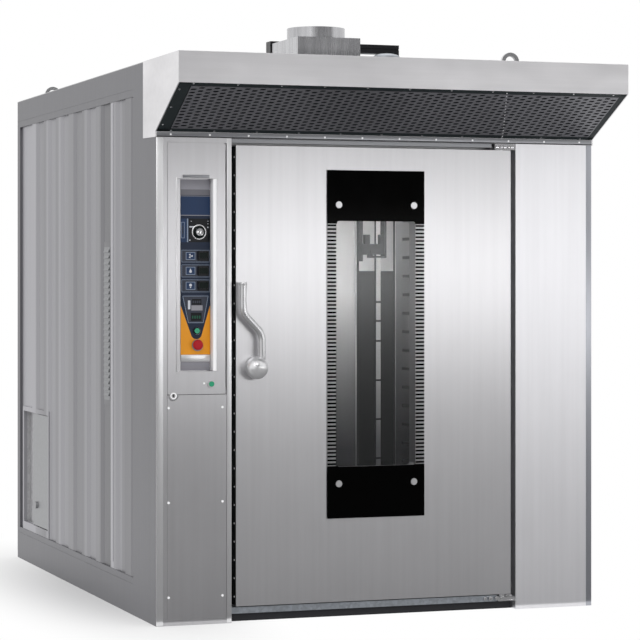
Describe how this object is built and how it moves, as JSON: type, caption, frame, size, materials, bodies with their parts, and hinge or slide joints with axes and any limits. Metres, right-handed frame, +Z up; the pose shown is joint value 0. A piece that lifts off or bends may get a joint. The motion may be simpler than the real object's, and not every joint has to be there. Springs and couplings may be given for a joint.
{
  "type": "rotating rack oven",
  "caption": "Walk-in rack oven with an insulated hinged door, tall window, lever handle, sloping vapour hood, control column and a roof driven turning rack hook.",
  "frame": {"origin": "middle of the whole footprint, on the floor", "axes": "+Y from the front to the back, +X to the right seen from the front, +Z up"},
  "size_m": [1.949, 2.965, 2.453],
  "materials": {
    "brushed_front": "brushed stainless, vertical grain",
    "side_steel": "satin ribbed cladding",
    "frame_paint": "satin grey",
    "roof_steel": "mill finish",
    "grille_black": "satin dark grey",
    "galvanised": "galvanised",
    "plinth_dark": "dark",
    "liner_steel": "satin stainless",
    "wool": "mineral wool",
    "polished": "polished",
    "hook_steel": "dull",
    "dark_iron": "black",
    "exchanger_steel": "heat tinted",
    "burner_red": "gloss",
    "motor_grey": "cast",
    "bridge_black": "black gloss",
    "black_rubber": "matt",
    "window_glass": "clear with black ends",
    "clear_glass": "clear",
    "lamp_cover": "frosted",
    "overlay_film": "printed film",
    "knob_silver": "turned",
    "rocker_black": "gloss",
    "button_green": "translucent",
    "stop_red": "gloss"
  },
  "bodies": {
    "oven_body": {"control_cabinet": "brushed_front", "right_column": "brushed_front", "front_header": "brushed_front", "hood_shell": "brushed_front", "access_panel": "brushed_front", "vapour_outlet": "brushed_front", "left_side_panel": "side_steel", "right_side_panel": "side_steel", "rear_panel": "side_steel", "louvre_panel": "side_steel", "side_frames": "frame_paint", "roof_panel": "roof_steel", "hood_grille": "grille_black", "door_sill": "galvanised", "burner_bay": "galvanised", "base_frame": "plinth_dark", "door_jamb": "liner_steel", "chamber_lining": "liner_steel", "side_air_ducts": "liner_steel", "rear_air_wall": "liner_steel", "floor_pan": "liner_steel", "insulation": "wool", "casing_screws": "polished", "top_bearing": "polished", "lifting_eyes": "polished", "hinge_brackets": "polished", "latch_keeper": "polished", "steam_generator": "dark_iron", "heat_exchanger": "exchanger_steel", "burner": "burner_red", "fan_motor": "motor_grey", "gear_motor": "motor_grey", "drive_bridge": "bridge_black", "drive_belt": "black_rubber", "chamber_lamps": "lamp_cover"},
    "door": {"door_shell": "brushed_front", "door_liner": "liner_steel", "door_seal": "black_rubber", "outer_glass": "window_glass", "inner_glass": "clear_glass", "window_discs": "polished"},
    "latch": {"door_handle": "polished", "latch_cam": "polished"},
    "service_door": {"service_panel": "brushed_front", "control_recess": "brushed_front", "control_overlay": "overlay_film"},
    "lock": {"panel_lock": "polished"},
    "rotor": {"rotor_shaft": "polished", "rack_hook": "hook_steel"},
    "pinion": {"motor_pulley": "dark_iron"},
    "fan": {"fan_wheel": "dark_iron"},
    "flap": {"vapour_flap": "bridge_black"},
    "timer": {"timer_knob": "knob_silver"},
    "rocker_a": {"rocker_upper": "rocker_black"},
    "rocker_b": {"rocker_middle": "rocker_black"},
    "rocker_c": {"rocker_lower": "rocker_black"},
    "start": {"start_button": "button_green"},
    "stop": {"emergency_stop": "stop_red"},
    "panel_button": {"column_button": "button_green"},
    "hatch": {"burner_hatch": "side_steel"}
  },
  "joints": [
    {"name": "door_swing", "type": "hinge", "parent": "oven_body", "child": "door", "pos_m": [0.56, -1.1075, 1], "axis": [0, 0, 1], "range_deg": [0, 110]},
    {"name": "handle_turn", "type": "hinge", "parent": "door", "child": "latch", "pos_m": [-0.549, -1.1375, 1.041], "axis": [0, 1, 0], "range_deg": [0, 90]},
    {"name": "service_door_swing", "type": "hinge", "parent": "oven_body", "child": "service_door", "pos_m": [-0.679, -1.1315, 1.4], "axis": [0, 0, 1], "range_deg": [0, 80]},
    {"name": "lock_turn", "type": "hinge", "parent": "service_door", "child": "lock", "pos_m": [-0.898, -1.1375, 0.932], "axis": [0, 1, 0], "range_deg": [0, 90]},
    {"name": "rotor_spin", "type": "hinge", "parent": "oven_body", "child": "rotor", "pos_m": [-0.0205, -0.422, 2.3], "axis": [0, 0, 1], "continuous": true},
    {"name": "pinion_spin", "type": "hinge", "parent": "oven_body", "child": "pinion", "pos_m": [0.2655, -0.508, 2.32], "axis": [0, 0, 1], "continuous": true},
    {"name": "fan_spin", "type": "hinge", "parent": "oven_body", "child": "fan", "pos_m": [-0.0205, 0.5625, 1.7], "axis": [0, 1, 0], "continuous": true},
    {"name": "flap_turn", "type": "hinge", "parent": "oven_body", "child": "flap", "pos_m": [-0.281, -1.1545, 2.3043], "axis": [-1, 0, 0], "range_deg": [0, 30]},
    {"name": "timer_turn", "type": "hinge", "parent": "service_door", "child": "timer", "pos_m": [-0.777, -1.1175, 1.597], "axis": [0, 1, 0], "range_deg": [0, 300]},
    {"name": "rocker_a_tilt", "type": "hinge", "parent": "service_door", "child": "rocker_a", "pos_m": [-0.76, -1.1025, 1.502], "axis": [1, 0, 0], "range_deg": [-8, 8]},
    {"name": "rocker_b_tilt", "type": "hinge", "parent": "service_door", "child": "rocker_b", "pos_m": [-0.76, -1.1025, 1.439], "axis": [1, 0, 0], "range_deg": [-8, 8]},
    {"name": "rocker_c_tilt", "type": "hinge", "parent": "service_door", "child": "rocker_c", "pos_m": [-0.76, -1.1025, 1.38], "axis": [1, 0, 0], "range_deg": [-8, 8]},
    {"name": "start_press", "type": "slide", "parent": "service_door", "child": "start", "axis": [0, 1, 0], "range_m": [0, 0.004], "stiffness_N_per_m": 300},
    {"name": "stop_press", "type": "slide", "parent": "service_door", "child": "stop", "axis": [0, 1, 0], "range_m": [0, 0.006], "stiffness_N_per_m": 600},
    {"name": "panel_button_press", "type": "slide", "parent": "service_door", "child": "panel_button", "axis": [0, 1, 0], "range_m": [0, 0.0035], "stiffness_N_per_m": 300},
    {"name": "hatch_swing", "type": "hinge", "parent": "oven_body", "child": "hatch", "pos_m": [-0.962, 0.8285, 0.47], "axis": [0, 0, 1], "range_deg": [0, 100]}
  ],
  "couplings": [
    {"joint": "pinion_spin", "follows": "rotor_spin", "ratio": 2.5}
  ]
}
